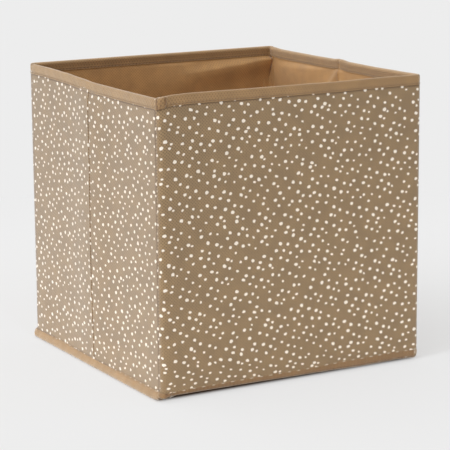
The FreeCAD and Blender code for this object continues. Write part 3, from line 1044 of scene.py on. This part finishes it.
class CUBE_OT_stitches(bpy.types.Operator):
    """Sews the tapes: rows of stitches just inside their hems"""

    bl_idname = "cube.stitches"
    bl_label = "Stitches"

    def execute(self, context):
        size = context.scene.cube_sizes
        for i, wall in enumerate(WALLS.values()):
            def rim(u, under):
                return SIZE.z - under + rise(wall, u, SIZE.z)

            def foot(u):
                return FOOT_HEM - .0001 + along_wall(HEM_RISE, wall, u)

            name = wall.name
            stitch_row(f"{name}_rim_stitches", wall, .00284, lambda u: rim(u, .0086), size, 11 + i)
            stitch_row(f"{name}_rim_inner_stitches", wall, .00705, lambda u: rim(u, .0091), size, 21 + i)
            stitch_row(f"{name}_foot_stitches", wall, .00262, foot, size, 31 + i, spaced=2.6, thread="pale_thread")
        return {"FINISHED"}


def floor_material(stage):
    """A plain pale floor, lit as a floor of its own colour, which toward the lamps is paler near the cube: a painted
    pool of light that bounces onto the cube. The camera sees it in an even pale tone, with the cube's shadow softened,
    and with a painted dark warm shade in the narrow gap under the cube's front."""
    tree = Tree("floor")
    place = tree.add("TexCoord").outputs["Object"]
    seen = tree.add("LightPath").outputs["Is Camera Ray"]
    grain = tree.noise(place, 60, 2.0)
    away = tree.add("VectorMath", {0: place}, operation="LENGTH").outputs["Value"]
    # painted light: toward the lamps the floor is paler near the cube and darker further out, a painted pool of light
    # that bounces onto the cube's lower walls
    painted_bounce_pool = tree.mix(tree.ramp(away, .32, 1.25), rgba(stage.floor), rgba(stage.floor, .35))
    x, y = tree.add("SeparateXYZ", {0: place}).outputs[:2]
    beside = tree.math("SUBTRACT", tree.math("ABSOLUTE", x), HIGH.x)
    before = tree.math("SUBTRACT", tree.math("ABSOLUTE", y), HIGH.y)
    clear = tree.math("MAXIMUM", beside, before)
    shown = tree.mix(tree.ramp(grain, .3, .7), rgba(stage.shown, .995), rgba(stage.shown))
    # painted shade: a dark warm strip of floor under the cube's front edge, inside its outline, seen by the camera
    # only; lit is 1 outside it
    behind = tree.math("SUBTRACT", y, LOW.y)
    lit = tree.math("MAXIMUM", tree.ramp(clear, -.022, -.011), tree.ramp(behind, .028, .038))
    shown = tree.mix(lit, rgba(stage.shown, .30, .17, .09), shown)
    rough, relief = tree.ramp(grain, 0, 1, .9, .95), tree.bump(grain, .02, .0005)
    tree.finish(tree.mix(seen, painted_bounce_pool, shown), rough, relief, specular=0.0)

    plain = tree.add("Emission", {"Color": (1, 1, 1, 1), "Strength": stage.backdrop}).outputs[0]
    ahead = tree.math("MAXIMUM", tree.math("SUBTRACT", LOW.x - .012, x), tree.math("SUBTRACT", LOW.y, y))
    band = tree.math("MULTIPLY_ADD", tree.math("MAXIMUM", clear, 0), .6, .012)
    reach = tree.math("DIVIDE", tree.math("ADD", ahead, .0075), band)
    even = tree.math("MAXIMUM", tree.ramp(clear, -.014, .010, 0, stage.fade),
                     tree.ramp(reach, -1, 0, 0, stage.fade_ahead))
    cover_up = tree.math("MULTIPLY", seen, tree.math("MAXIMUM", even, tree.ramp(away, .35, .9)))
    both = tree.add("MixShader", {0: cover_up, 1: tree.shader.outputs[0], 2: plain}).outputs[0]
    tree.links.new(both, tree.nodes["Material Output"].inputs["Surface"])
    return tree.material


def room(stage):
    """The world: soft light from all round, more from the left, and a plain pale backdrop to the camera."""
    world = bpy.data.worlds.new("room")
    world.use_nodes = True
    nodes, links = world.node_tree.nodes, world.node_tree.links
    nodes.clear()

    def add(kind, **inputs):
        node = nodes.new("ShaderNode" + kind)
        for key, value in inputs.items():
            node.inputs[key].default_value = value
        return node

    seen, lit = add("Background", Color=(1, 1, 1, 1), Strength=stage.backdrop), add("Background", Color=(1, 1, 1, 1))
    way, facing, path = add("TexCoord"), add("VectorMath"), add("LightPath")
    facing.operation = "DOT_PRODUCT"
    facing.inputs[1].default_value = Vector((-.80, .53, .28)).normalized()
    soft = add("MapRange", **{"From Min": .1, "From Max": .95, "To Min": stage.sky, "To Max": stage.sky + stage.side})
    soft.interpolation_type = "SMOOTHSTEP"
    mix, out = add("MixShader"), add("OutputWorld")
    links.new(way.outputs["Generated"], facing.inputs[0])
    links.new(facing.outputs["Value"], soft.inputs["Value"])
    links.new(soft.outputs[0], lit.inputs["Strength"])
    links.new(path.outputs["Is Camera Ray"], mix.inputs[0])
    links.new(lit.outputs[0], mix.inputs[1])
    links.new(seen.outputs[0], mix.inputs[2])
    links.new(mix.outputs[0], out.inputs[0])
    return world


def place_lamp(name, kind, towards, location=(0, 0, 0), **settings):
    """A lamp of a kind, shining towards a direction."""
    data = bpy.data.lights.new(name, kind)
    for key, value in settings.items():
        setattr(data, key, value)
    lamp = bpy.data.objects.new(name, data)
    lamp.location = location
    lamp.rotation_mode = "QUATERNION"
    lamp.rotation_quaternion = Vector(towards).to_track_quat("-Z", "Y")
    bpy.context.scene.collection.objects.link(lamp)
    return lamp


def place_camera(location, yaw, pitch, roll, lens):
    """The camera, turned from facing along Y by three angles in radians."""
    ahead = Vector((math.sin(yaw) * math.cos(pitch), math.cos(yaw) * math.cos(pitch), -math.sin(pitch)))
    right = Vector((math.cos(yaw), -math.sin(yaw), 0))
    up = right.cross(ahead)
    right, up = right * math.cos(roll) + up * math.sin(roll), up * math.cos(roll) - right * math.sin(roll)
    data = bpy.data.cameras.new("camera")
    data.lens, data.sensor_width, data.sensor_fit = lens, 36, "HORIZONTAL"
    camera = bpy.data.objects.new("camera", data)
    camera.matrix_world = Matrix.Translation(location) @ Matrix((right, up, -ahead)).transposed().to_4x4()
    bpy.context.scene.collection.objects.link(camera)
    return camera


class CUBE_OT_stage(bpy.types.Operator):
    """Sets the floor, the lamps and the camera"""

    bl_idname = "cube.stage"
    bl_label = "Stage"

    def execute(self, context):
        stage, scene = context.scene.cube_stage, context.scene
        bm = bmesh.new()
        bmesh.ops.create_grid(bm, x_segments=8, y_segments=8, size=40)
        floor = finish_mesh("floor", bm, floor_material(stage))
        floor.location.z = -.0002
        scene.world = room(stage)
        place_lamp("key", "SUN", (.78, .22, -.60), energy=stage.sun, angle=math.radians(50))
        fill = place_lamp("low_fill", "AREA", (-.08, .70, .02), (.10, -.75, .05),
                          shape="RECTANGLE", size=.9, size_y=.12, energy=stage.fill)
        fill.visible_camera = False
        scene.camera = place_camera((-1.0098, -1.7873, .5647), yaw=.5161, pitch=.2068, roll=-.0074, lens=158.65)
        scene.view_settings.view_transform = "Standard"
        return {"FINISHED"}


OPERATORS = (
    CUBE_OT_cards, CUBE_OT_covers, CUBE_OT_linings, CUBE_OT_rim_tapes, CUBE_OT_foot_tapes, CUBE_OT_floor_cloths,
    CUBE_OT_corner_strips, CUBE_OT_stitches, CUBE_OT_stage,
)


class CUBE_PT_panel(bpy.types.Panel):
    """Lists the cube's pieces and settings"""

    bl_label = "Storage cube"
    bl_space_type = "VIEW_3D"
    bl_region_type = "UI"
    bl_category = "Storage cube"

    def draw(self, context):
        for group in (context.scene.cube_cloth, context.scene.cube_sizes, context.scene.cube_stage):
            box = self.layout.box()
            for name in group.__annotations__:
                box.prop(group, name)
        for operator in OPERATORS:
            self.layout.operator(operator.bl_idname)


GROUPS = {"cube_cloth": ClothLook, "cube_sizes": TapeSizes, "cube_stage": StageLook}


def register():
    for cls in (*GROUPS.values(), *OPERATORS, CUBE_PT_panel):
        bpy.utils.register_class(cls)
    for name, group in GROUPS.items():
        setattr(bpy.types.Scene, name, bpy.props.PointerProperty(type=group))


def unregister():
    for name in GROUPS:
        delattr(bpy.types.Scene, name)
    for cls in reversed((*GROUPS.values(), *OPERATORS, CUBE_PT_panel)):
        bpy.utils.unregister_class(cls)


def main():
    register()
    for operator in OPERATORS:
        group, name = operator.bl_idname.split(".")
        getattr(getattr(bpy.ops, group), name)()


if __name__ == "__main__":
    main()
